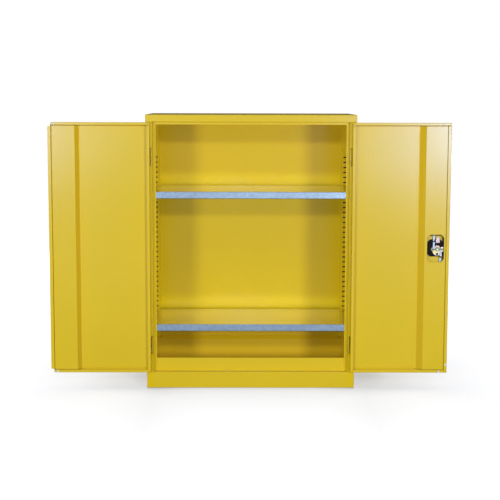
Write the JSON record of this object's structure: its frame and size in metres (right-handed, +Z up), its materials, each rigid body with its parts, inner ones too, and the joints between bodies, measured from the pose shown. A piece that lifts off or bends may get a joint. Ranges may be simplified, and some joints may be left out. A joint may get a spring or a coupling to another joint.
{
  "type": "two-door hazardous-storage cabinet",
  "caption": "Free-standing yellow steel hazardous-storage cabinet with full-width hinged doors, three-point lock, lift-out galvanised shelves and a sump base.",
  "frame": {"origin": "centre of the cabinet's footprint, on the floor", "axes": "+X to the viewer's right across the doors, -Y out of the front, +Z up"},
  "size_m": [1.738, 0.492, 1.2],
  "materials": {
    "yellow_paint": "satin powder coat",
    "zinc_steel": "bright zinc",
    "galvanised_steel": "galvanised",
    "yellow_zinc": "yellow passivated zinc",
    "black_plastic": "fine grain",
    "blackened_steel": "black oxide",
    "buffer_rubber": "soft matt"
  },
  "bodies": {
    "carcass": {"left_side_panel": "yellow_paint", "right_side_panel": "yellow_paint", "back_panel": "yellow_paint", "top_panel": "yellow_paint", "plinth": "yellow_paint", "sump_tray": "yellow_paint", "left_rear_upright": "yellow_paint", "right_rear_upright": "yellow_paint", "left_front_upright": "yellow_paint", "right_front_upright": "yellow_paint", "upper_shelf_clips": "zinc_steel", "lower_shelf_clips": "zinc_steel", "left_hinge_frame_knuckles": "yellow_paint", "right_hinge_frame_knuckles": "yellow_paint", "left_hinge_pins": "yellow_paint", "right_hinge_pins": "yellow_paint"},
    "left_door": {"left_door_panel": "yellow_paint", "left_door_stiffener": "yellow_paint", "left_astragal": "yellow_paint", "left_door_buffers": "buffer_rubber", "left_hinge_door_knuckles": "yellow_paint"},
    "right_door": {"right_door_panel": "yellow_paint", "right_door_stiffener": "yellow_paint", "right_door_buffers": "buffer_rubber", "right_hinge_door_knuckles": "yellow_paint", "lock_housing": "black_plastic", "housing_screws": "blackened_steel", "rod_guides": "black_plastic"},
    "lock_turner": {"lock_handle": "black_plastic", "lock_spindle": "zinc_steel", "cam_plate": "yellow_zinc", "lock_tongue": "yellow_zinc", "cam_nut": "zinc_steel", "rod_pins": "zinc_steel"},
    "key_plug": {"key_cylinder": "zinc_steel"},
    "upper_bolt": {"upper_rod": "galvanised_steel"},
    "lower_bolt": {"lower_rod": "galvanised_steel"},
    "upper_tray": {"upper_shelf": "galvanised_steel"},
    "lower_tray": {"lower_shelf": "galvanised_steel"}
  },
  "joints": [
    {"name": "left_door_hinge", "type": "hinge", "parent": "carcass", "child": "left_door", "pos_m": [-0.432, -0.2315, 0.62], "axis": [0, 0, 1], "range_deg": [0, 180]},
    {"name": "right_door_hinge", "type": "hinge", "parent": "carcass", "child": "right_door", "pos_m": [0.432, -0.2315, 0.62], "axis": [0, 0, -1], "range_deg": [0, 180]},
    {"name": "lock_turn", "type": "hinge", "parent": "right_door", "child": "lock_turner", "pos_m": [0.811, -0.24, 0.62], "axis": [0, 1, 0], "range_deg": [0, 90]},
    {"name": "upper_rod_pivot", "type": "hinge", "parent": "lock_turner", "child": "upper_bolt", "pos_m": [0.795, -0.25, 0.62], "axis": [0, 1, 0], "range_deg": [-92.5, 0]},
    {"name": "lower_rod_pivot", "type": "hinge", "parent": "lock_turner", "child": "lower_bolt", "pos_m": [0.827, -0.25, 0.62], "axis": [0, 1, 0], "range_deg": [-92.5, 0]},
    {"name": "key_turn", "type": "hinge", "parent": "lock_turner", "child": "key_plug", "pos_m": [0.811, -0.24, 0.62], "axis": [0, 1, 0], "range_deg": [0, 90]},
    {"name": "upper_shelf_lift", "type": "slide", "parent": "carcass", "child": "upper_tray", "axis": [0, 0, 1], "range_m": [0, 0.04]},
    {"name": "lower_shelf_lift", "type": "slide", "parent": "carcass", "child": "lower_tray", "axis": [0, 0, 1], "range_m": [0, 0.04]}
  ],
  "couplings": [
    {"joint": "upper_rod_pivot", "follows": "lock_turn", "ratio": -1.0186},
    {"joint": "lower_rod_pivot", "follows": "lock_turn", "ratio": -1.0186}
  ]
}
